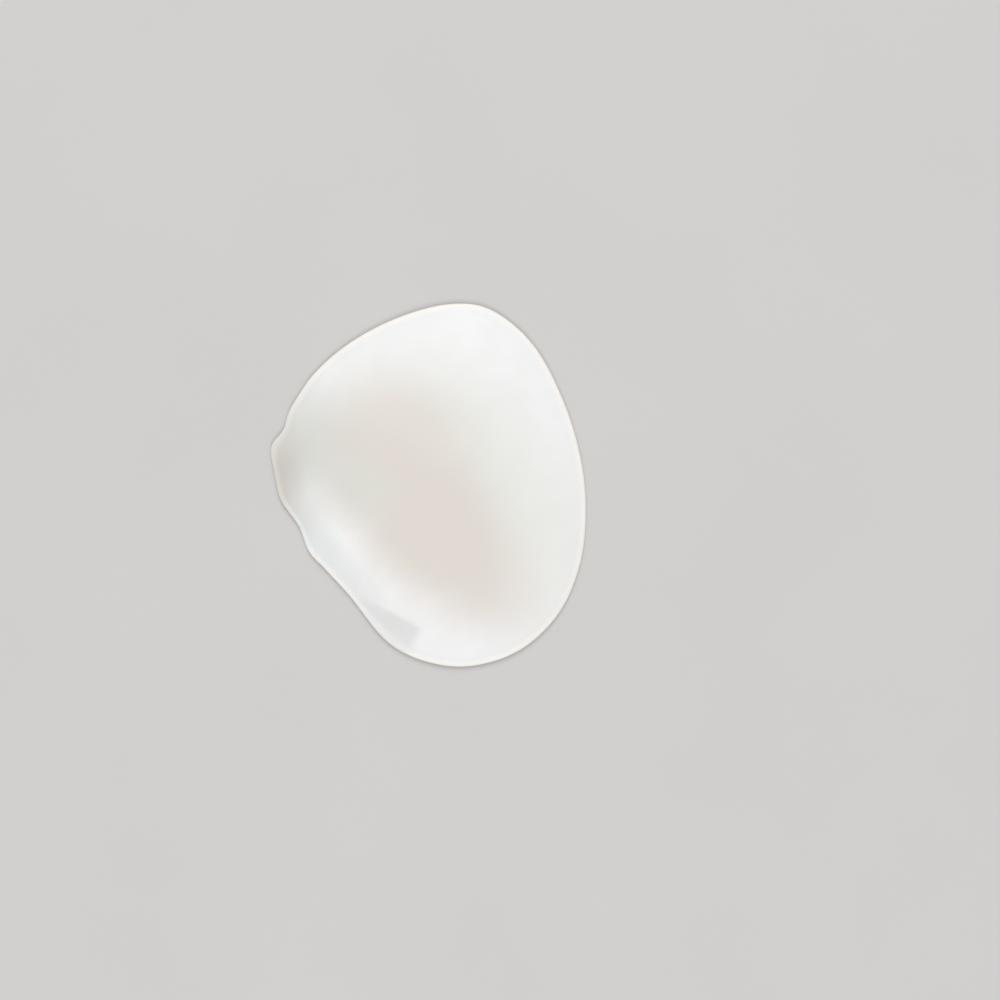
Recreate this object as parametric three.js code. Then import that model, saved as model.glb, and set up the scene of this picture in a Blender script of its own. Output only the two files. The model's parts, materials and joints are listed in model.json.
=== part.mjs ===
// A ball of foot pad: one moulded piece of soft white gel with a flat side that clings.
// Millimetres, +Z up. The pad lies as it rests by itself, with its flat side on Z = 0 and its contoured side
// upwards. Its front edge, with the nose, lies towards -X, its back edge towards +X, its inner side towards +Y.

import * as THREE from "three";

// Driving sizes
const padLength = 81.5; // from the tip of the nose to the back edge
const padWidth = 94; // from the outer side to the inner side
const bodyThickness = 4.6; // of the level middle, before its crests and hollows
const lipThickness = 1.2; // of the rim, which is rounded over its whole thickness
const lipReach = 1.1; // how far in from the edge the rounding of the rim ends

// Looks of the moulded gel
const gelColour = 0xeceae7;
const gelRoughness = 0.42;

// Fineness of the mesh
const outlineSteps = 144; // round the rim
const lipSteps = 4; // over the half round of the rim
const slopeSteps = 20; // from the rim to the middle
const slopeCrowding = 1.25; // power that draws the rings together beside the rim

// The outline from above, anticlockwise from the middle of the back edge. along is a share of half the
// length, towards the back, and across is a share of half the width, towards the inner side.
const outline = [
  { place: "back edge, middle", along: 1.0, across: -0.148 },
  { place: "back edge, inner half", along: 0.972, across: 0.126 },
  { place: "back corner, inner side", along: 0.858, across: 0.462 },
  { place: "inner side, behind the bulge", along: 0.649, across: 0.791 },
  { place: "inner side, back of the bulge", along: 0.377, across: 0.975 },
  { place: "inner side, widest point", along: 0.149, across: 1.0 },
  { place: "inner side, ahead of the bulge", along: -0.18, across: 0.929 },
  { place: "front edge, inner end", along: -0.528, across: 0.769 },
  { place: "front edge, inner half", along: -0.775, across: 0.566 },
  { place: "notch beside the nose", along: -0.908, across: 0.34 },
  { place: "nose, inner corner", along: -0.998, across: 0.2 },
  { place: "nose, outer corner", along: -0.934, across: -0.066 },
  { place: "hollow beside the nose", along: -0.882, across: -0.152 },
  { place: "front edge past the hollow", along: -0.773, across: -0.342 },
  { place: "front edge, outer half", along: -0.522, across: -0.593 },
  { place: "front edge, outer end", along: -0.237, across: -0.857 },
  { place: "outer side, front", along: 0.047, across: -0.981 },
  { place: "outer side, widest point", along: 0.263, across: -1.0 },
  { place: "outer side, back", along: 0.579, across: -0.912 },
  { place: "back corner, outer side", along: 0.832, across: -0.703 },
  { place: "back edge, outer half", along: 0.965, across: -0.429 },
];

// How far the slope reaches inwards from the rim before the body is level, as a share of half the length.
// bearing is in degrees, anticlockwise from the back.
const slopes = [
  { bearing: 0, reach: 0.5 },
  { bearing: 50, reach: 0.5 },
  { bearing: 100, reach: 0.44 },
  { bearing: 140, reach: 0.38 },
  { bearing: 172, reach: 0.42 },
  { bearing: 200, reach: 0.21 },
  { bearing: 245, reach: 0.24 },
  { bearing: 275, reach: 0.36 },
  { bearing: 320, reach: 0.46 },
];

// The crests and hollows of the contoured side. x is the middle's share of half the length, and y its share
// of half the width. long and wide are half the form's own length and width, as shares of half the pad's
// length. turn is in degrees. rise is a share of the body's thickness. bow bends the form sideways by a
// share of its half width. fade is the power that it dies away with towards its edge: 1 is crisp, 2 is soft.
const contours = [
  { form: "front crest", x: -0.31, y: -0.52, long: 0.88, wide: 0.2, turn: -44, rise: 0.22, bow: 0.9, fade: 2 },
  { form: "mound", x: 0.12, y: 0.6, long: 0.75, wide: 0.4, turn: 0, rise: 0.1, bow: 0, fade: 2 },
  { form: "dish", x: -0.02, y: -0.1, long: 0.95, wide: 0.52, turn: -44, rise: -0.22, bow: 0.2, fade: 2 },
  { form: "gutter", x: -0.66, y: 0.2, long: 0.6, wide: 0.32, turn: -12, rise: -0.26, bow: 0, fade: 2 },
  { form: "dip", x: -0.22, y: -0.79, long: 0.24, wide: 0.16, turn: -27, rise: -0.24, bow: 0, fade: 1 },
];

const halfLength = padLength / 2;
const halfWidth = padWidth / 2;
const lipRadius = lipThickness / 2;

// The outline as evenly spaced points, fitted to the pad's length and width and centred on the origin.
function rimPoints() {
  const knots = outline.map((row) => new THREE.Vector3(row.along * halfLength, row.across * halfWidth, 0));
  const curve = new THREE.CatmullRomCurve3(knots, true, "centripetal");
  const points = curve.getSpacedPoints(outlineSteps).slice(0, outlineSteps);
  const box = new THREE.Box3().setFromPoints(points);
  const middle = box.getCenter(new THREE.Vector3());
  const size = box.getSize(new THREE.Vector3());
  const fit = new THREE.Vector3(padLength / size.x, padWidth / size.y, 1);
  return points.map((point) => point.sub(middle).multiply(fit));
}

// The direction into the pad, level, at each point of a closed line that runs anticlockwise.
function inwardDirections(points) {
  return points.map((point, i) => {
    const before = points.at(i - 1);
    const after = points[(i + 1) % points.length];
    return new THREE.Vector3(before.y - after.y, after.x - before.x, 0).normalize();
  });
}

// The slope's reach in millimetres towards a point, eased between the rows of the table.
function slopeReach(point) {
  const angle = THREE.MathUtils.radToDeg(Math.atan2(point.y, point.x));
  const bearing = THREE.MathUtils.euclideanModulo(angle, 360);
  const next = slopes.findIndex((row) => row.bearing > bearing);
  const to = slopes.at(next === -1 ? 0 : next);
  const from = slopes.at(next === -1 ? -1 : next - 1);
  const span = THREE.MathUtils.euclideanModulo(to.bearing - from.bearing, 360);
  const share = THREE.MathUtils.smoothstep(bearing - from.bearing, 0, span);
  return THREE.MathUtils.lerp(from.reach, to.reach, share) * halfLength;
}

// How much one crest or hollow adds at a point: its whole rise at its middle, and nothing outside it.
function contourRise(row, point) {
  const middle = new THREE.Vector2(row.x * halfLength, row.y * halfWidth);
  const from = new THREE.Vector2(point.x, point.y).sub(middle);
  from.rotateAround(new THREE.Vector2(), -THREE.MathUtils.degToRad(row.turn));
  const u = from.x / (row.long * halfLength);
  const v = from.y / (row.wide * halfLength) - row.bow * u * u;
  const distance = Math.min(u * u + v * v, 1);
  return row.rise * bodyThickness * (1 - distance) ** row.fade;
}

// The height of the contoured side at a point. climbed is the share of the slope that lies behind it, from 0
// at the rim to 1 or more on the body.
function surfaceHeight(point, climbed) {
  const level = 1 - (1 - Math.min(climbed, 1)) ** 2;
  const relief = contours.reduce((sum, row) => sum + contourRise(row, point), 0);
  return lipThickness + level * (bodyThickness - lipThickness + relief);
}

// A closed body through rings of equally many points, closed at both ends by one point each.
function bodyThroughRings(firstPole, rings, lastPole) {
  const count = rings[0].length;
  const points = [firstPole, ...rings.flat(), lastPole];
  const last = points.length - 1;
  const at = (ring, i) => 1 + ring * count + (i % count);
  const index = [];
  for (let i = 0; i < count; i++) {
    index.push(0, at(0, i + 1), at(0, i));
    for (let ring = 0; ring + 1 < rings.length; ring++) {
      index.push(at(ring, i), at(ring, i + 1), at(ring + 1, i + 1));
      index.push(at(ring, i), at(ring + 1, i + 1), at(ring + 1, i));
    }
    index.push(at(rings.length - 1, i), at(rings.length - 1, i + 1), last);
  }
  const geometry = new THREE.BufferGeometry().setFromPoints(points);
  geometry.setIndex(index);
  geometry.computeVertexNormals();
  return geometry;
}

// The half round of the rim, from the flat side at angle 0 to the contoured side at half a turn.
function lipRings(rim, inward) {
  return Array.from({ length: lipSteps + 1 }, (_, step) => {
    const angle = (Math.PI * step) / lipSteps;
    const setIn = lipReach * (1 - Math.sin(angle));
    const height = lipRadius * (1 - Math.cos(angle));
    return rim.map((point, i) => point.clone().addScaledVector(inward[i], setIn).setZ(height));
  });
}

// The contoured side in rings that close in on the middle, closest together beside the rim.
function slopeRings(lipTop) {
  const middle = new THREE.Vector3();
  return Array.from({ length: slopeSteps - 1 }, (_, step) => {
    const share = ((step + 1) / slopeSteps) ** slopeCrowding;
    return lipTop.map((edge) => {
      const point = edge.clone().setZ(0).lerp(middle, share);
      const wayIn = share * Math.hypot(edge.x, edge.y);
      return point.setZ(surfaceHeight(point, wayIn / slopeReach(edge)));
    });
  });
}

function gelPad() {
  const rim = rimPoints();
  const lip = lipRings(rim, inwardDirections(rim));
  const slope = slopeRings(lip.at(-1));
  const middle = new THREE.Vector3();
  const skinPole = middle.clone();
  const contouredPole = middle.clone().setZ(surfaceHeight(middle, 1));
  const geometry = bodyThroughRings(skinPole, [...lip, ...slope], contouredPole);
  const material = new THREE.MeshStandardMaterial({ color: gelColour, roughness: gelRoughness });
  const mesh = new THREE.Mesh(geometry, material);
  mesh.name = "gel_pad";
  return mesh;
}

const pad = new THREE.Group();
pad.add(gelPad());

export default pad;
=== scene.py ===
# %% [markdown]
# # A ball of foot pad
# This pad is one moulded piece of soft white gel. It has a flat side that clings, a thin rounded rim, a
# raised crest along its outer front edge and a shallow dish in the middle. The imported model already
# holds its true size and its main shape in flat facets. Here it gets a fine smooth surface, the small
# bends of its rim, the marks of its mould, the finish of the gel, a floor, soft light and a camera.

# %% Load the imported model
import json
import math

import bpy
from mathutils import Matrix, Vector

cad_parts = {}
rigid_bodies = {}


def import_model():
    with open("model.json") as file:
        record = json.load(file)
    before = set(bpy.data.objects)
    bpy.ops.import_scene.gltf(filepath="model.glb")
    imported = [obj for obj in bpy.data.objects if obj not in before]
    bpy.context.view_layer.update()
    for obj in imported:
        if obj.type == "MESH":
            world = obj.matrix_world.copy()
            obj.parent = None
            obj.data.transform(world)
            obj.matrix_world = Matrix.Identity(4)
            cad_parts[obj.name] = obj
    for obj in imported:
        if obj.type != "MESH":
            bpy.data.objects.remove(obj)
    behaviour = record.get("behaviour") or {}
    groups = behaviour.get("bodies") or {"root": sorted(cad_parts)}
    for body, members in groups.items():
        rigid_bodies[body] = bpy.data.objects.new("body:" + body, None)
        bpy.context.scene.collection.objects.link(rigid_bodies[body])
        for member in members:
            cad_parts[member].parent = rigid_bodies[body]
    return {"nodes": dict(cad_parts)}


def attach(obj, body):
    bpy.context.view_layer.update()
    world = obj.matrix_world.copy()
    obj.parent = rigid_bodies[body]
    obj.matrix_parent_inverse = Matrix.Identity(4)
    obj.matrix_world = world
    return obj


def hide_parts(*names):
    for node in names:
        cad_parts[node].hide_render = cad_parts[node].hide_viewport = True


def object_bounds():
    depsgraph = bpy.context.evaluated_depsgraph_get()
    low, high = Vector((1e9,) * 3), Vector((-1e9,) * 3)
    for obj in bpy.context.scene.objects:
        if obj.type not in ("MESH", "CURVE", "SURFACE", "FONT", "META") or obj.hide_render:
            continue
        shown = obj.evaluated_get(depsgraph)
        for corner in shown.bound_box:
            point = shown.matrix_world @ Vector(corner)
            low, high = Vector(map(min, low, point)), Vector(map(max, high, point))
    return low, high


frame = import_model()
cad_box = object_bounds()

MM = 0.001
scene = bpy.context.scene
moulded = frame["nodes"]["gel_pad"]
pad_size = cad_box[1] - cad_box[0]
print("pad size in mm:", [round(side / MM, 2) for side in pad_size])

# %% [markdown]
# ## Camera
# The photo looks straight down on the contoured side, with the pad's front to the left and its inner
# side at the top. A camera that isn't turned at all looks straight down with +X to the right and +Y up,
# so it only needs its place. The pad's width in the photo gives the scale, and the pad's middle in the
# photo gives the place. A long lens high above keeps the view almost parallel, as in the photo.

# %% Photo scale and place
PHOTO_SIDE = 1000
PAD_WIDTH_IN_PHOTO = 364
PAD_MIDDLE_IN_PHOTO = (428.5, 485)

photo_scale = pad_size.y / PAD_WIDTH_IN_PHOTO
view_middle_x = (PHOTO_SIDE / 2 - PAD_MIDDLE_IN_PHOTO[0]) * photo_scale
view_middle_y = (PAD_MIDDLE_IN_PHOTO[1] - PHOTO_SIDE / 2) * photo_scale
print("photo scale in mm per pixel:", round(photo_scale / MM, 4))

# %% Camera above the pad
LENS = 100
SENSOR = 36
NEAREST_SEEN = 0.01
FARTHEST_SEEN = 20

camera_data = bpy.data.cameras.new("photo_camera")
camera_data.lens = LENS
camera_data.sensor_width = SENSOR
camera = bpy.data.objects.new("photo_camera", camera_data)
scene.collection.objects.link(camera)
camera_height = PHOTO_SIDE * photo_scale * LENS / SENSOR + pad_size.z / 2
camera.location = (view_middle_x, view_middle_y, camera_height)
camera_data.clip_start = NEAREST_SEEN
camera_data.clip_end = FARTHEST_SEEN
scene.camera = camera
print("camera height in mm:", round(camera_height / MM, 1))

# %% [markdown]
# ## The gel pad's surface
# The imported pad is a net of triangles, which shows as facets on a soft satin surface. It could be
# remeshed by voxels, but the rim is only about a millimetre thick and voxels fine enough for it make a
# very heavy mesh. So the pad's own rings are kept. A copy is merged, and the two fans in the middle,
# which would pinch a smooth surface, are cut out. The triangles that are left are joined into quads, the
# two holes are filled with an even grid, and a Subdivision Surface rounds it all.

# %% Helpers for selecting
def select_only(piece):
    bpy.ops.object.select_all(action="DESELECT")
    piece.select_set(True)
    bpy.context.view_layer.objects.active = piece


def select_points(piece, wanted):
    """Selects the points of a piece for which wanted(place) is true, and leaves the piece in edit mode."""
    bpy.ops.object.mode_set(mode="EDIT")
    bpy.ops.mesh.select_mode(type="VERT")
    bpy.ops.mesh.select_all(action="DESELECT")
    bpy.ops.object.mode_set(mode="OBJECT")
    for point in piece.data.vertices:
        point.select = wanted(point.co)
    bpy.ops.object.mode_set(mode="EDIT")


def report_mesh(piece, done):
    corners = [len(face.vertices) for face in piece.data.polygons]
    points = len(piece.data.vertices)
    print(done, "- points:", points, "quads:", corners.count(4), "triangles:", corners.count(3))


# %% Copy and merge the pad
MERGE_DISTANCE = 0.01 * MM

gel = bpy.data.objects.new("gel", moulded.data.copy())
gel.data.materials.clear()
scene.collection.objects.link(gel)
select_only(gel)
bpy.ops.object.mode_set(mode="EDIT")
bpy.ops.mesh.select_all(action="SELECT")
bpy.ops.mesh.remove_doubles(threshold=MERGE_DISTANCE)
bpy.ops.object.mode_set(mode="OBJECT")
report_mesh(gel, "merged")

# %% Cut out the two fans
TOP_RINGS_CUT = 8
FLAT_RINGS_CUT = 1


def cut_round_middle(height, rings):
    """Deletes the faces within some rings of the middle point nearest a height."""
    middle = min(gel.data.vertices, key=lambda p: (p.co - Vector((0, 0, height))).length).co.copy()
    select_points(gel, lambda place: (place - middle).length < MERGE_DISTANCE)
    for _ in range(rings):
        bpy.ops.mesh.select_more()
    bpy.ops.mesh.delete(type="FACE")
    bpy.ops.object.mode_set(mode="OBJECT")


cut_round_middle(pad_size.z, TOP_RINGS_CUT)
cut_round_middle(0, FLAT_RINGS_CUT)
report_mesh(gel, "fans cut")

# %% Join the triangles into quads
bpy.ops.object.mode_set(mode="EDIT")
bpy.ops.mesh.select_all(action="SELECT")
any_angle = math.pi
bpy.ops.mesh.tris_convert_to_quads(
    face_threshold=any_angle, shape_threshold=any_angle, topology_influence=2
)
bpy.ops.object.mode_set(mode="OBJECT")
report_mesh(gel, "joined")

# %% Fill the two holes with a grid
def fill_hole(low, high):
    """Fills the hole whose rim lies between two heights, and tells which points the grid brought.

    A quarter of the rim is one side of the grid.
    """
    points_before = len(gel.data.vertices)
    bpy.ops.object.mode_set(mode="EDIT")
    bpy.ops.mesh.select_mode(type="VERT")
    bpy.ops.mesh.select_all(action="DESELECT")
    bpy.ops.mesh.select_non_manifold()
    bpy.ops.object.mode_set(mode="OBJECT")
    hole_rim = {tuple(p.co) for p in gel.data.vertices if p.select and low <= p.co.z <= high}
    select_points(gel, lambda place: tuple(place) in hole_rim)
    bpy.ops.mesh.fill_grid(span=len(hole_rim) // 4)
    bpy.ops.object.mode_set(mode="OBJECT")
    return range(points_before, len(gel.data.vertices))


between_holes = pad_size.z / 4
top_patch = fill_hole(between_holes, pad_size.z)
report_mesh(gel, "top filled")
fill_hole(0, between_holes)
report_mesh(gel, "flat side filled")

# %% [markdown]
# The grid only spans the hole. It is lifted clear of the mould's shape and then dropped on it by a
# Shrinkwrap that looks straight down, so each of its points lands on the contoured side and never on the
# flat side.

# %% Drop the new top grid on the moulded surface
LIFT = 10 * MM

gel.vertex_groups.new(name="top_patch").add(list(top_patch), 1, "REPLACE")
for number in top_patch:
    gel.data.vertices[number].co.z += LIFT
wrap = gel.modifiers.new("drop_on_mould", "SHRINKWRAP")
wrap.target = moulded
wrap.wrap_method = "PROJECT"
wrap.use_project_z = True
wrap.use_negative_direction = True
wrap.use_positive_direction = False
wrap.vertex_group = "top_patch"
bpy.ops.object.modifier_apply(modifier=wrap.name)
gel.vertex_groups.clear()
print("top grid from", round(min(gel.data.vertices[n].co.z for n in top_patch) / MM, 2), "mm up")

# %% [markdown]
# The facets also leave faint furrows that run from the notches into the gutter behind the nose. Moulded
# gel has none, so a Smooth modifier irons them out of the cage. Its vertex group spares the rim, the
# flat side and the lowest part of the slope.

# %% Iron out the furrows
IRON_FACTOR = 0.5
IRON_REPEATS = 5
IRON_START = 2.2 * MM
IRON_FULL = 3.6 * MM

ironed = gel.vertex_groups.new(name="ironed")
for point in gel.data.vertices:
    share = (point.co.z - IRON_START) / (IRON_FULL - IRON_START)
    ironed.add([point.index], min(max(share, 0), 1), "REPLACE")
iron = gel.modifiers.new("iron", "SMOOTH")
iron.factor = IRON_FACTOR
iron.iterations = IRON_REPEATS
iron.vertex_group = "ironed"
bpy.ops.object.modifier_apply(modifier=iron.name)
gel.vertex_groups.clear()
print("top after ironing in mm:", round(max(point.co.z for point in gel.data.vertices) / MM, 3))

# %% [markdown]
# ## The rim's bends one by one
# Round its nose the rim of the real pad bends a little more sharply than the imported one, and at its
# outer front edge it bulges. They could be sculpted, but the imported rim is right to within about a
# millimetre, so proportional editing is enough: one point of the rim is grabbed and moved a little, and
# the gel within reach follows it softly. The table gives each place, reach and pull in millimetres.

# %% Pull the rim into its small bends
PULLS = (
    dict(place="outer bulge", at=(-7.9, -41.6), reach=19, pull=(-0.63, -0.86)),
    dict(place="nose, outer corner", at=(-37.8, -3.6), reach=8, pull=(-0.56, -0.26)),
    dict(place="hollow beside the nose", at=(-34.0, -11.6), reach=5.5, pull=(0.63, 0.29)),
    dict(place="front edge past the hollow", at=(-30.1, -18.1), reach=4.5, pull=(-0.32, -0.24)),
    dict(place="nose, inner corner", at=(-40.8, 9.3), reach=4.5, pull=(-0.38, 0.15)),
    dict(place="cove beside the nose", at=(-37.7, 13.9), reach=5, pull=(0.64, -0.38)),
    dict(place="notch", at=(-36.0, 18.6), reach=8, pull=(-0.68, 0.3)),
)


def pull_rim(at, reach, pull):
    """Grabs the point of the gel nearest a place and moves it, with the gel within reach. In millimetres."""
    grabbed = min(gel.data.vertices, key=lambda point: (point.co.xy - Vector(at) * MM).length).co.copy()
    select_points(gel, lambda place: (place - grabbed).length < MERGE_DISTANCE)
    bpy.ops.transform.translate(
        value=(pull[0] * MM, pull[1] * MM, 0),
        use_proportional_edit=True,
        proportional_edit_falloff="SMOOTH",
        proportional_size=reach * MM,
    )
    bpy.ops.object.mode_set(mode="OBJECT")


for bend in PULLS:
    pull_rim(bend["at"], bend["reach"], bend["pull"])
    print("rim pulled:", bend["place"], "by", bend["pull"], "mm")

# %% [markdown]
# ## The marks of the mould
# The two halves of the mould meet at the pad's widest line, half way up the rim, and leave a hair-thin
# ridge there. It could be drawn as bump, but it shows against the floor from the side, so it is made in
# the mesh: the widest loop is bevelled and its middle is pushed out. The narrow faces beside it also
# keep the rim from shrinking when it is rounded.

# %% Ridge where the mould halves meet
RIDGE_WIDTH = 0.24 * MM
RIDGE_HEIGHT = 0.07 * MM
HEIGHT_SLACK = 0.02 * MM

widest = max(gel.data.vertices, key=lambda point: point.co.x).co.z
select_points(gel, lambda place: abs(place.z - widest) < HEIGHT_SLACK)
bpy.ops.mesh.bevel(offset=RIDGE_WIDTH / 2, segments=2, affect="EDGES")
bpy.ops.object.mode_set(mode="OBJECT")
select_points(gel, lambda place: abs(place.z - widest) < HEIGHT_SLACK)
bpy.ops.transform.shrink_fatten(value=RIDGE_HEIGHT)
bpy.ops.object.mode_set(mode="OBJECT")
print("ridge at", round(widest / MM, 2), "mm up, points:", sum(point.select for point in gel.data.vertices))
report_mesh(gel, "ridge made")

# %% Round it with two subdivisions
SMOOTHING_LEVELS = 2

smooth = gel.modifiers.new("smooth_gel", "SUBSURF")
smooth.levels = SMOOTHING_LEVELS
smooth.render_levels = SMOOTHING_LEVELS
bpy.ops.object.modifier_apply(modifier=smooth.name)
bpy.ops.object.shade_smooth()
report_mesh(gel, "smoothed")

# %% [markdown]
# Cast gel is never quite even. A Displace modifier lifts and sinks the contoured side by a few
# hundredths of a millimetre in slow waves, which the soft light picks up. Its vertex group fades it out
# down the slope, so the rim and the flat side stay as moulded.

# %% Slow waves on the contoured side
WAVE_LENGTH = 11 * MM
WAVE_HEIGHT = 0.14 * MM
WAVES_START = 1.3 * MM
WAVES_FULL = 3.5 * MM

contoured = gel.vertex_groups.new(name="contoured")
for point in gel.data.vertices:
    share = (point.co.z - WAVES_START) / (WAVES_FULL - WAVES_START)
    contoured.add([point.index], min(max(share, 0), 1), "REPLACE")
cast_waves = bpy.data.textures.new("cast_waves", "CLOUDS")
cast_waves.noise_scale = WAVE_LENGTH
waves = gel.modifiers.new("slow_waves", "DISPLACE")
waves.texture = cast_waves
waves.texture_coords = "LOCAL"
waves.direction = "Z"
waves.strength = WAVE_HEIGHT
waves.mid_level = 0.5
waves.vertex_group = "contoured"
bpy.ops.object.modifier_apply(modifier=waves.name)
gel.vertex_groups.clear()
print("height with waves in mm:", round(max(point.co.z for point in gel.data.vertices) / MM, 3))

# %% [markdown]
# Above the outer bulge the slope has a small flat facet. Its upper edge and its rear end are creases,
# and it runs out by itself towards the nose. Two straight lines and a fade describe it: a point is
# turned into the frame of the facet's corner, where Y is the distance from the upper edge and X the
# distance from the rear end. The facet deepens steadily below its upper edge and stops above the rim.

# %% Where the facet lies
FACET_CORNER = (-1.7 * MM, -36 * MM)
FACET_TURN = math.radians(-27)
FACET_EDGE = 1.8 * MM
FACET_STARTS = -24 * MM
FACET_FULL = -6 * MM


def soft_step(value, start, end):
    """Rises softly from 0 at start to 1 at end."""
    share = min(max((value - start) / (end - start), 0), 1)
    return share * share * (3 - 2 * share)


def in_facet_frame(place):
    """A place as seen from the facet's corner, level."""
    across = Vector((place.x - FACET_CORNER[0], place.y - FACET_CORNER[1]))
    across.rotate(Matrix.Rotation(-FACET_TURN, 2))
    return across


# %% Press the facet in
FACET_DEPTH = 0.3 * MM
FACET_DEEPEST = 4.5 * MM
FACET_STOPS = 1.2 * MM
FACET_FREE = 1.7 * MM

facet = gel.vertex_groups.new(name="facet")
pressed = 0
for point in gel.data.vertices:
    spot = in_facet_frame(point.co)
    share = min(max(-spot.y / FACET_DEEPEST, 0), 1)
    share *= soft_step(spot.x, FACET_EDGE, -FACET_EDGE)
    share *= soft_step(spot.x, FACET_STARTS, FACET_FULL)
    share *= soft_step(point.co.z, FACET_STOPS, FACET_FREE)
    facet.add([point.index], share, "REPLACE")
    pressed += share > 0
press = gel.modifiers.new("press_facet", "DISPLACE")
press.direction = "Z"
press.mid_level = 0
press.strength = -FACET_DEPTH
press.vertex_group = "facet"
bpy.ops.object.modifier_apply(modifier=press.name)
gel.vertex_groups.clear()
print("facet pressed in, points:", pressed)

# %% [markdown]
# ## The gel's finish
# The real gel is a satin white that lets a little light in, so its shadows are soft. Its thin rim's
# bright cream line is a painted glow, and where the gel is thin and low, in the dish, the gutter and the
# nose, painted shade makes it darker and warmer. Everything reads Object coordinates, turned into
# millimetres by a Mapping node, so the pattern keeps its scale.

# %% Helpers for the finish
def new_material(name):
    material = bpy.data.materials.new(name)
    material.use_nodes = True
    return material, material.node_tree.nodes, material.node_tree.links


def add_noise(nodes, links, place, size, detail):
    """Noise whose blobs are about size across, in the unit of the place."""
    noise = nodes.new("ShaderNodeTexNoise")
    noise.inputs["Scale"].default_value = 1 / size
    noise.inputs["Detail"].default_value = detail
    links.new(place, noise.inputs["Vector"])
    return noise


def add_range(nodes, links, value, start, end, low=0.0, high=1.0, soft=True):
    """Turns a value that runs from start to end into one that runs from low to high."""
    spread = nodes.new("ShaderNodeMapRange")
    spread.interpolation_type = "SMOOTHSTEP" if soft else "LINEAR"
    spread.inputs["From Min"].default_value = start
    spread.inputs["From Max"].default_value = end
    spread.inputs["To Min"].default_value = low
    spread.inputs["To Max"].default_value = high
    links.new(value, spread.inputs["Value"])
    return spread.outputs["Result"]


def add_tint(nodes, links, colour, tint, share):
    """Mixes a tint into a colour by a share from 0 to 1."""
    mix = nodes.new("ShaderNodeMix")
    mix.data_type = "RGBA"
    links.new(share, mix.inputs["Factor"])
    links.new(colour, mix.inputs["A"])
    mix.inputs["B"].default_value = tint
    return mix.outputs["Result"]


def add_product(nodes, links, first, second):
    """Multiplies two values."""
    product = nodes.new("ShaderNodeMath")
    product.operation = "MULTIPLY"
    links.new(first, product.inputs[0])
    links.new(second, product.inputs[1])
    return product.outputs["Value"]


# %% Millimetre coordinates
gel_material, nodes, links = new_material("satin_gel")
shader = nodes["Principled BSDF"]
where = nodes.new("ShaderNodeTexCoord")
in_mm = nodes.new("ShaderNodeMapping")
in_mm.inputs["Scale"].default_value = (1 / MM, 1 / MM, 1 / MM)
links.new(where.outputs["Object"], in_mm.inputs["Vector"])
place = in_mm.outputs["Vector"]
split_place = nodes.new("ShaderNodeSeparateXYZ")
links.new(place, split_place.inputs["Vector"])
height = split_place.outputs["Z"]
print("gel material reads", where.outputs["Object"].name, "coordinates times", round(1 / MM))

# %% [markdown]
# The body's white comes first. It could be one flat colour, but cast gel is faintly cloudy, so a noise
# mixes in a second white that is hardly darker. Each later cell lays one more tint over the colour that
# the cells before it made.

# %% White gel with faint clouds
GEL_WHITE = (0.875, 0.875, 0.875, 1)
CLOUD_TINT = (0.858, 0.857, 0.854, 1)
CLOUD_SIZE = 7
CLOUD_SPREAD = (0.35, 0.65)

clouds = add_noise(nodes, links, place, CLOUD_SIZE, detail=3)
cloud_share = add_range(nodes, links, clouds.outputs["Fac"], *CLOUD_SPREAD)
white = nodes.new("ShaderNodeRGB")
white.outputs["Color"].default_value = GEL_WHITE
colour = add_tint(nodes, links, white.outputs["Color"], CLOUD_TINT, cloud_share)
print("white with clouds", CLOUD_SIZE, "mm across")

# %% [markdown]
# The rim is as thin as a coin. Its warm cream line is a painted glow: light that enters its edge and
# comes out again is painted into the colour. The flat side is at zero height, so the height above it
# tells how thick the gel is. It is read in both directions: up to the rim's full painted glow, and down
# again where the slope has made the gel thick.

# %% Painted glow of the rim
RIM_PAINTED_GLOW = (0.955, 0.905, 0.845, 1)
GLOW_FULL = 0.3
GLOW_FADES = 0.95
GLOW_ENDS = 1.55

glow_in = add_range(nodes, links, height, 0, GLOW_FULL)
glow_out = add_range(nodes, links, height, GLOW_FADES, GLOW_ENDS, 1, 0)
glow = add_product(nodes, links, glow_in, glow_out)
# the rim's cream line is a painted glow, laid into the colour
colour = add_tint(nodes, links, colour, RIM_PAINTED_GLOW, glow)
print("rim glows up to", GLOW_ENDS, "mm above the floor")

# %% [markdown]
# The thin places are painted shade: soft patches without a sharp edge, darker and warmer where the gel
# lies low and thin. Each is an oval that fades out, read from a place that a noise has pushed about by a
# few millimetres, so no oval shows. They lie over the rim's painted glow, because the nose is thin right
# up to its edge. In the table, middle and half are in millimetres, turn is in degrees, and fade tells how
# wide an oval's edge is, up to 1 for the softest.

# %% Places pushed about
PUSH_SIZE = 16
PUSH_REACH = 9

push = add_noise(nodes, links, place, PUSH_SIZE, detail=2)
pushed = nodes.new("ShaderNodeVectorMath")
pushed.operation = "MULTIPLY_ADD"
links.new(push.outputs["Color"], pushed.inputs[0])
pushed.inputs[1].default_value = (PUSH_REACH, PUSH_REACH, 0)
links.new(place, pushed.inputs[2])
centred = nodes.new("ShaderNodeVectorMath")
centred.operation = "SUBTRACT"
links.new(pushed.outputs["Vector"], centred.inputs[0])
centred.inputs[1].default_value = (PUSH_REACH / 2, PUSH_REACH / 2, 0)
print("places pushed about by up to", PUSH_REACH / 2, "mm each way")

# %% Soft ovals
HALF_WAY = 0.5
TALLER_THAN_PAD = 100


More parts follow.
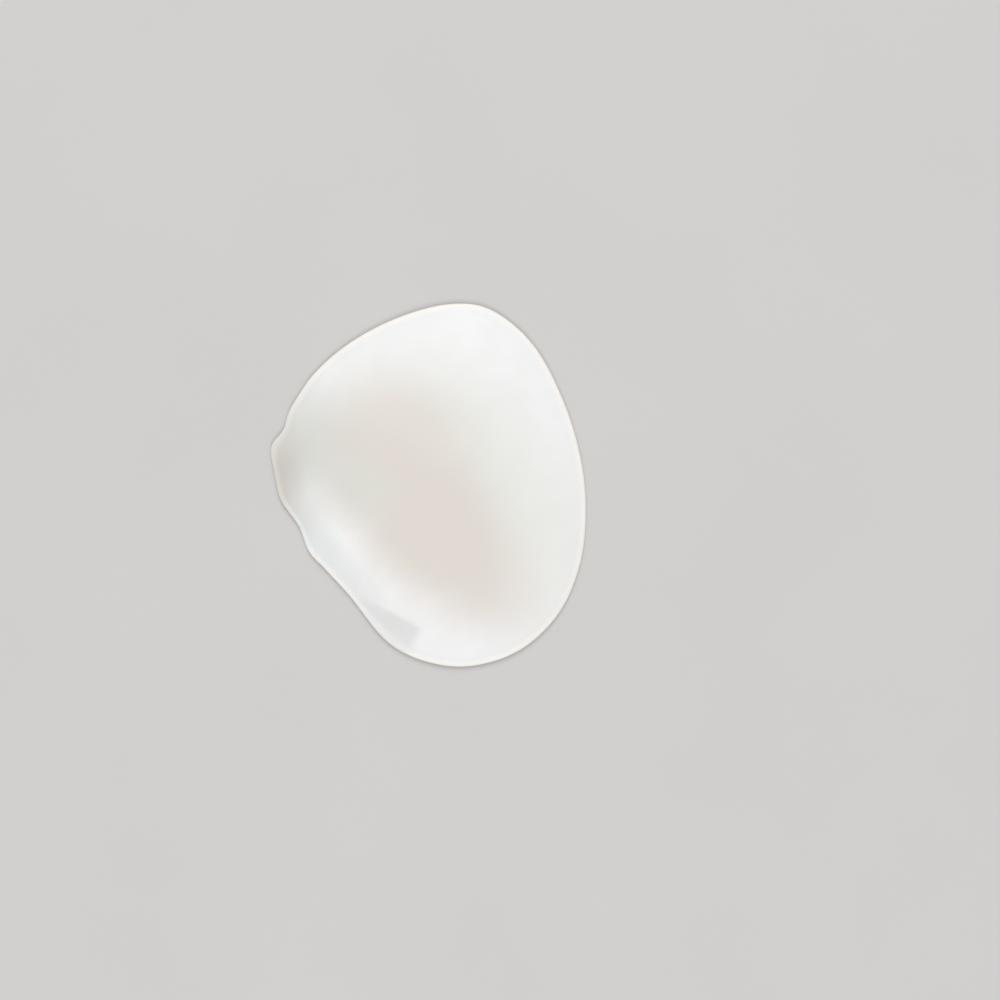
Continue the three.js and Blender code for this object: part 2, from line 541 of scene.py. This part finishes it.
def add_patch(middle, half, turn, fade):
    """A soft oval that is down to one half where its half sizes end. fade is how wide it fades."""
    oval = nodes.new("ShaderNodeMapping")
    oval.vector_type = "TEXTURE"
    oval.inputs["Location"].default_value = (*middle, 0)
    oval.inputs["Rotation"].default_value = (0, 0, math.radians(turn))
    oval.inputs["Scale"].default_value = (half[0] / HALF_WAY, half[1] / HALF_WAY, TALLER_THAN_PAD)
    links.new(centred.outputs["Vector"], oval.inputs["Vector"])
    nearness = nodes.new("ShaderNodeTexGradient")
    nearness.gradient_type = "SPHERICAL"
    links.new(oval.outputs["Vector"], nearness.inputs["Vector"])
    start = HALF_WAY * (1 - fade)
    return add_range(nodes, links, nearness.outputs["Fac"], start, HALF_WAY * (1 + fade))


# %% Painted shade from the back to the nose
PAINTED_SHADE_PLACES = (
    dict(name="veil", middle=(10, 0), half=(32, 19), turn=-46, fade=0.8, tint=(0.77, 0.775, 0.735)),
    dict(name="mid dish", middle=(-8, 11), half=(18, 16), turn=-5, fade=0.5, tint=(0.76, 0.727, 0.67)),
    dict(name="dish", middle=(1, -11), half=(29, 16), turn=-44, fade=0.5, tint=(0.727, 0.68, 0.635)),
    dict(name="dish end", middle=(-18, -1), half=(7, 6), turn=-30, fade=1, tint=(0.7, 0.7, 0.65)),
    dict(name="front slope", middle=(-30, -13), half=(10, 3), turn=-51, fade=1, tint=(0.81, 0.83, 0.83)),
    dict(name="gutter", middle=(-36, 8), half=(13, 13), turn=-6, fade=1, tint=(0.65, 0.65, 0.61)),
    dict(name="nose", middle=(-39, 2), half=(5, 8), turn=0, fade=0.9, tint=(0.605, 0.56, 0.525)),
)

for shade_place in PAINTED_SHADE_PLACES:
    share = add_patch(shade_place["middle"], shade_place["half"], shade_place["turn"], shade_place["fade"])
    # each tint is painted shade, darker where the gel lies thin and low
    colour = add_tint(nodes, links, colour, (*shade_place["tint"], 1), share)
    print("tinted:", shade_place["name"])

# %% [markdown]
# The facet above the outer bulge turns away from the light, so a painted shade makes it darker. A Mapping
# node turns the place into the facet's frame, as the mesh did, and its Y and X give the same three edges.

# %% Painted shade of the facet
FACET_PAINTED_SHADE = (0.75, 0.747, 0.744, 1)
FACET_STRENGTH = 0.85

facet_place = nodes.new("ShaderNodeMapping")
facet_place.vector_type = "TEXTURE"
facet_place.inputs["Location"].default_value = (*FACET_CORNER, 0)
facet_place.inputs["Rotation"].default_value = (0, 0, FACET_TURN)
links.new(where.outputs["Object"], facet_place.inputs["Vector"])
split_facet = nodes.new("ShaderNodeSeparateXYZ")
links.new(facet_place.outputs["Vector"], split_facet.inputs["Vector"])
from_end = split_facet.outputs["X"]
below_edge = add_range(nodes, links, split_facet.outputs["Y"], -FACET_EDGE, 0, 1, 0)
before_end = add_range(nodes, links, from_end, -FACET_EDGE, FACET_EDGE, 1, 0)
after_start = add_range(nodes, links, from_end, FACET_STARTS, FACET_FULL)
facet_share = add_product(nodes, links, below_edge, before_end)
facet_share = add_product(nodes, links, facet_share, after_start)
facet_shade = add_range(nodes, links, facet_share, 0, 1, 0, FACET_STRENGTH, soft=False)
# the facet's darker colour is painted shade
colour = add_tint(nodes, links, colour, FACET_PAINTED_SHADE, facet_shade)
print("facet shaded, from its corner at", [round(side / MM, 1) for side in FACET_CORNER])

# %% [markdown]
# At the nose the very edge still catches a little light, so the rim's painted glow comes back over the
# painted shade at a third of its strength.

# %% Painted glow over the painted shade
GLOW_OVER = 0.3

faint_glow = add_range(nodes, links, glow, 0, 1, 0, GLOW_OVER, soft=False)
# painted glow of the rim, laid again over the painted shade
colour = add_tint(nodes, links, colour, RIM_PAINTED_GLOW, faint_glow)
print("glow laid over the tints at", GLOW_OVER)

# %% [markdown]
# A close look at such gel shows a few tiny bubbles that the mould trapped. They could be modelled, but
# they are too small and faint for that, so they are drawn. A flat Voronoi texture has one point in each
# of its cells, seen from above. The place close round a point is a bubble, and few cells keep theirs.

# %% Tiny bubbles
BUBBLE_CELL = 6
BUBBLE_HALF = 0.28
BUBBLE_CELLS_EMPTY = 0.6
BUBBLE_TINT = (0.8, 0.795, 0.785, 1)
BUBBLE_STRENGTH = 0.35

cells = nodes.new("ShaderNodeTexVoronoi")
cells.voronoi_dimensions = "2D"
cells.inputs["Scale"].default_value = 1 / BUBBLE_CELL
links.new(place, cells.inputs["Vector"])
bubble_edge = BUBBLE_HALF / BUBBLE_CELL
bubble = add_range(nodes, links, cells.outputs["Distance"], 0, bubble_edge, BUBBLE_STRENGTH, 0)
cell_pick = nodes.new("ShaderNodeMath")
cell_pick.operation = "GREATER_THAN"
cell_pick.inputs[1].default_value = BUBBLE_CELLS_EMPTY
links.new(cells.outputs["Color"], cell_pick.inputs[0])
kept_bubble = add_product(nodes, links, bubble, cell_pick.outputs["Value"])
colour = add_tint(nodes, links, colour, BUBBLE_TINT, kept_bubble)
links.new(colour, shader.inputs["Base Color"])
print("bubbles", 2 * BUBBLE_HALF, "mm across at most")

# %% [markdown]
# The contoured side is satin, because the mould was lightly blasted: its grain is far finer than a
# millimetre, and the gloss changes a little in broad clouds. The flat side clings, so it is glossier.

# %% Satin side and clinging side
SATIN_CLOUD_SIZE = 9
SATIN_ROUGHNESS = (0.46, 0.6)
CLING_SHARE = 0.45
CLING_ENDS = 0.15

satin_cloud = add_noise(nodes, links, place, SATIN_CLOUD_SIZE, detail=2)
satin = add_range(nodes, links, satin_cloud.outputs["Fac"], 0, 1, *SATIN_ROUGHNESS, soft=False)
cling = add_range(nodes, links, height, 0, CLING_ENDS, CLING_SHARE, 1)
roughness = add_product(nodes, links, satin, cling)
links.new(roughness, shader.inputs["Roughness"])
print("roughness of the contoured side from", *SATIN_ROUGHNESS)

# %% Fine grain
GRAIN_SIZE = 0.3
GRAIN_DEPTH = 0.012 * MM
GRAIN_STRENGTH = 0.3

grain = add_noise(nodes, links, place, GRAIN_SIZE, detail=2)
bump = nodes.new("ShaderNodeBump")
bump.inputs["Strength"].default_value = GRAIN_STRENGTH
bump.inputs["Distance"].default_value = GRAIN_DEPTH
links.new(grain.outputs["Fac"], bump.inputs["Height"])
links.new(bump.outputs["Normal"], shader.inputs["Normal"])
print("grain", GRAIN_SIZE, "mm across")

# %% [markdown]
# Gel lets light in and scatters it, the red part farthest. Subsurface scattering softens the small
# shadows as the real gel does. Only a part of the light goes in, because with all of it the rim's fine
# line is lost.

# %% Light inside the gel
GEL_IOR = 1.41
LIGHT_SHARE_INSIDE = 0.4
LIGHT_REACH = 2 * MM
LIGHT_REACH_BY_COLOUR = (1, 0.8, 0.65)

shader.inputs["IOR"].default_value = GEL_IOR
shader.inputs["Subsurface Weight"].default_value = LIGHT_SHARE_INSIDE
shader.inputs["Subsurface Scale"].default_value = LIGHT_REACH
shader.inputs["Subsurface Radius"].default_value = LIGHT_REACH_BY_COLOUR
gel.data.materials.append(gel_material)
print("gel material has", len(nodes), "nodes")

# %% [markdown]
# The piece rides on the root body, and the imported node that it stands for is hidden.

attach(gel, "root")
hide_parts("gel_pad")
print("gel stands for", moulded.name)

# %% [markdown]
# ## Floor and light
# A plain pale floor, a little darker than the gel, lets the white pad stand out. A small lamp would give
# hard shadows that soft gel doesn't need. So a pale room all round gives about half of the light, and
# two large panels give the rest, so that the slopes and the dish show.

# %% Floor
FLOOR_HALF = 2.5
FLOOR_MOTTLE = 0.06
FLOOR_SPREAD = (0.3, 0.7)
FLOOR_ROUGHNESS = (0.65, 0.85)
FLOOR_PALE = (0.6, 0.592, 0.58, 1)
FLOOR_DEEPER = (0.592, 0.583, 0.57, 1)

bpy.ops.mesh.primitive_plane_add(size=2 * FLOOR_HALF, location=(0, 0, 0))
floor = bpy.context.active_object
floor.name = "floor"
floor_material, floor_nodes, floor_links = new_material("pale_floor")
floor_shader = floor_nodes["Principled BSDF"]
floor_place = floor_nodes.new("ShaderNodeTexCoord").outputs["Object"]
mottle = add_noise(floor_nodes, floor_links, floor_place, FLOOR_MOTTLE, detail=4)
floor_base = floor_nodes.new("ShaderNodeRGB")
floor_base.outputs["Color"].default_value = FLOOR_PALE
floor_share = add_range(floor_nodes, floor_links, mottle.outputs["Fac"], *FLOOR_SPREAD)
floor_colour = add_tint(floor_nodes, floor_links, floor_base.outputs["Color"], FLOOR_DEEPER, floor_share)
floor_links.new(floor_colour, floor_shader.inputs["Base Color"])
satin_share = mottle.outputs["Fac"]
floor_roughness = add_range(floor_nodes, floor_links, satin_share, 0, 1, *FLOOR_ROUGHNESS, soft=False)
floor_links.new(floor_roughness, floor_shader.inputs["Roughness"])
floor.data.materials.append(floor_material)
print("floor", 2 * FLOOR_HALF, "m wide")

# %% Soft panels
PANEL_DISTANCE = 2.4
PANEL_SIDE = 1.4
PANEL_HEIGHT = math.radians(38)


def add_panel(name, bearing, watts):
    """A square panel of light that faces the pad from a bearing, in degrees anticlockwise from +X."""
    data = bpy.data.lights.new(name, "AREA")
    data.shape = "SQUARE"
    data.size = PANEL_SIDE
    data.energy = watts
    panel = bpy.data.objects.new(name, data)
    turn = math.radians(bearing)
    level = Vector((math.cos(turn), math.sin(turn), 0))
    up = Vector((0, 0, 1))
    panel.location = PANEL_DISTANCE * (level * math.cos(PANEL_HEIGHT) + up * math.sin(PANEL_HEIGHT))
    panel.rotation_euler = (-panel.location).to_track_quat("-Z", "Y").to_euler()
    panel.visible_camera = False
    scene.collection.objects.link(panel)
    print(name, "at", [round(side, 2) for side in panel.location])


add_panel("inner_side_panel", bearing=90, watts=31)
add_panel("outer_side_panel", bearing=-90, watts=26)

# %% Pale room
ROOM_GREY = 0.5

world = bpy.data.worlds.new("studio")
scene.world = world
world.use_nodes = True
background = world.node_tree.nodes["Background"]
background.inputs["Color"].default_value = (ROOM_GREY, ROOM_GREY, ROOM_GREY, 1)
background.inputs["Strength"].default_value = 1

scene.view_settings.view_transform = "Standard"
print("room grey:", ROOM_GREY)
